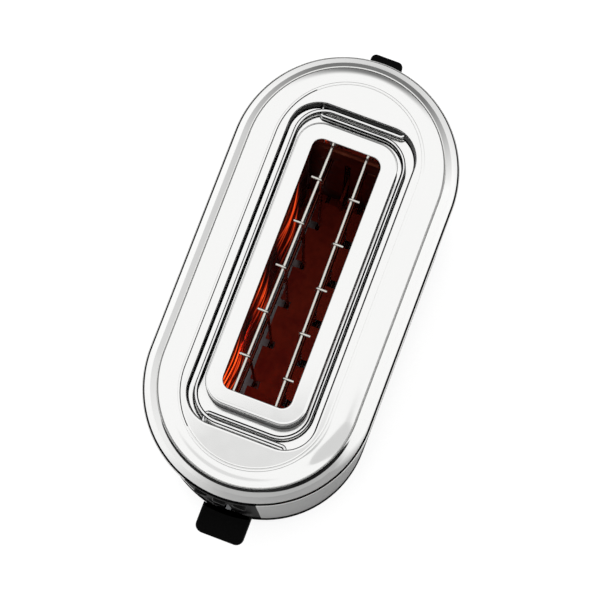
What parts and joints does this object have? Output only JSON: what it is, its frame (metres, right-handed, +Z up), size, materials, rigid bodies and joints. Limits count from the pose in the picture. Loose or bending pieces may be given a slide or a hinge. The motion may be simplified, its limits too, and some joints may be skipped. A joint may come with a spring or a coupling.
{
  "type": "toaster",
  "caption": "One-slice toaster with a long slot in a rounded steel body, a carriage lever, a folding roll rack and a crumb tray.",
  "frame": {"origin": "centre of the body's plan, on the plane that the feet stand on", "axes": "+X along the body to the carriage lever end, +Y across it, +Z up out of the slot"},
  "size_m": [0.2765, 0.1254, 0.188],
  "materials": {
    "rubber": "matt black rubber",
    "black_plastic": "matt black moulding",
    "brushed_shell": "brushed stainless steel",
    "polished_cover": "polished stainless steel",
    "polished_collar": "polished stainless steel",
    "bush_plastic": "black acetal",
    "plated_steel": "zinc plated steel",
    "screw_steel": "zinc plated steel",
    "chamber_steel": "aluminised steel, heat tinted",
    "mica": "phlogopite mica, brown",
    "glowing_ribbon": "resistance ribbon at red heat",
    "guide_wire": "plated steel wire",
    "shelf_steel": "plated sheet steel",
    "slider_plastic": "natural nylon",
    "magnet_steel": "laminated core and varnished coil",
    "knob_plastic": "fine textured black",
    "rod_steel": "ground steel rod",
    "spring_steel": "spring steel",
    "circuit_board": "green solder mask",
    "pot_plastic": "moulded black",
    "button_plastic": "satin black",
    "switch_plastic": "moulded black",
    "tray_steel": "plated sheet steel",
    "bun_wire_chrome": "chromed steel wire",
    "terminal_plastic": "ivory moulding"
  },
  "bodies": {
    "housing": {"base_moulding": "black_plastic", "base_screws": "screw_steel", "board_screws": "screw_steel", "body_shell": "brushed_shell", "browning_pot": "pot_plastic", "bun_slider_guide": "bush_plastic", "bun_wire_bushes": "bush_plastic", "button_switches": "switch_plastic", "chassis_plate": "plated_steel", "control_board": "circuit_board", "cord_gland": "black_plastic", "feet": "rubber", "front_end_plate": "chamber_steel", "front_panel": "black_plastic", "guide_rod": "rod_steel", "holding_magnet": "magnet_steel", "left_heat_shield": "chamber_steel", "left_heater_card": "mica", "left_heating_ribbon": "glowing_ribbon", "rear_end_plate": "chamber_steel", "return_spring": "spring_steel", "right_heat_shield": "chamber_steel", "right_heater_card": "mica", "right_heating_ribbon": "glowing_ribbon", "rod_bracket": "plated_steel", "slot_collar": "polished_collar", "terminal_block": "terminal_plastic", "top_cover": "polished_cover"},
    "carriage": {"carriage_slider": "slider_plastic", "armature_plate": "plated_steel", "lever_arm": "plated_steel", "lever_knob": "knob_plastic", "bread_shelf": "shelf_steel"},
    "left_guide": {"left_bread_guide": "guide_wire"},
    "right_guide": {"right_bread_guide": "guide_wire"},
    "bun_lift": {"bun_slider": "plated_steel", "bun_lever_knob": "knob_plastic"},
    "outer_wire": {"outer_bun_wire": "bun_wire_chrome"},
    "inner_wire": {"inner_bun_wire": "bun_wire_chrome"},
    "browning_dial": {"browning_knob": "knob_plastic", "control_shaft": "plated_steel"},
    "stop_key": {"stop_button": "button_plastic"},
    "defrost_key": {"defrost_button": "button_plastic"},
    "reheat_key": {"reheat_button": "button_plastic"},
    "crumb_drawer": {"crumb_tray": "tray_steel"}
  },
  "joints": [
    {"name": "carriage_slide", "type": "slide", "parent": "housing", "child": "carriage", "axis": [0, 0, 1], "range_m": [0, 0.062], "deforming": ["return_spring"]},
    {"name": "left_guide_slide", "type": "slide", "parent": "housing", "child": "left_guide", "axis": [0, -1, 0], "range_m": [0, 0.003]},
    {"name": "right_guide_slide", "type": "slide", "parent": "housing", "child": "right_guide", "axis": [0, 1, 0], "range_m": [0, 0.003]},
    {"name": "bun_lever_slide", "type": "slide", "parent": "housing", "child": "bun_lift", "axis": [0, 0, -1], "range_m": [0, 0.011]},
    {"name": "outer_wire_swing", "type": "hinge", "parent": "housing", "child": "outer_wire", "pos_m": [0, 0.024, 0.1785], "axis": [-1, 0, 0], "range_deg": [0, 42]},
    {"name": "inner_wire_swing", "type": "hinge", "parent": "housing", "child": "inner_wire", "pos_m": [0, -0.0215, 0.1757], "axis": [1, 0, 0], "range_deg": [0, 42]},
    {"name": "browning_turn", "type": "hinge", "parent": "housing", "child": "browning_dial", "pos_m": [0.12, 0, 0.036], "axis": [1, 0, 0], "range_deg": [-150, 120]},
    {"name": "stop_press", "type": "slide", "parent": "housing", "child": "stop_key", "axis": [-1, 0, 0], "range_m": [0, 0.0016], "stiffness_N_per_m": 300, "springref_m": -0.002},
    {"name": "defrost_press", "type": "slide", "parent": "housing", "child": "defrost_key", "axis": [-1, 0, 0], "range_m": [0, 0.0016], "stiffness_N_per_m": 300, "springref_m": -0.002},
    {"name": "reheat_press", "type": "slide", "parent": "housing", "child": "reheat_key", "axis": [-1, 0, 0], "range_m": [0, 0.0016], "stiffness_N_per_m": 300, "springref_m": -0.002},
    {"name": "crumb_tray_slide", "type": "slide", "parent": "housing", "child": "crumb_drawer", "axis": [-1, 0, 0], "range_m": [0, 0.15]}
  ],
  "couplings": [
    {"joint": "left_guide_slide", "follows": "carriage_slide", "ratio": 0.048387},
    {"joint": "right_guide_slide", "follows": "carriage_slide", "ratio": 0.048387},
    {"joint": "outer_wire_swing", "follows": "bun_lever_slide", "rad_per_m": 66.64},
    {"joint": "inner_wire_swing", "follows": "bun_lever_slide", "rad_per_m": 66.64}
  ]
}
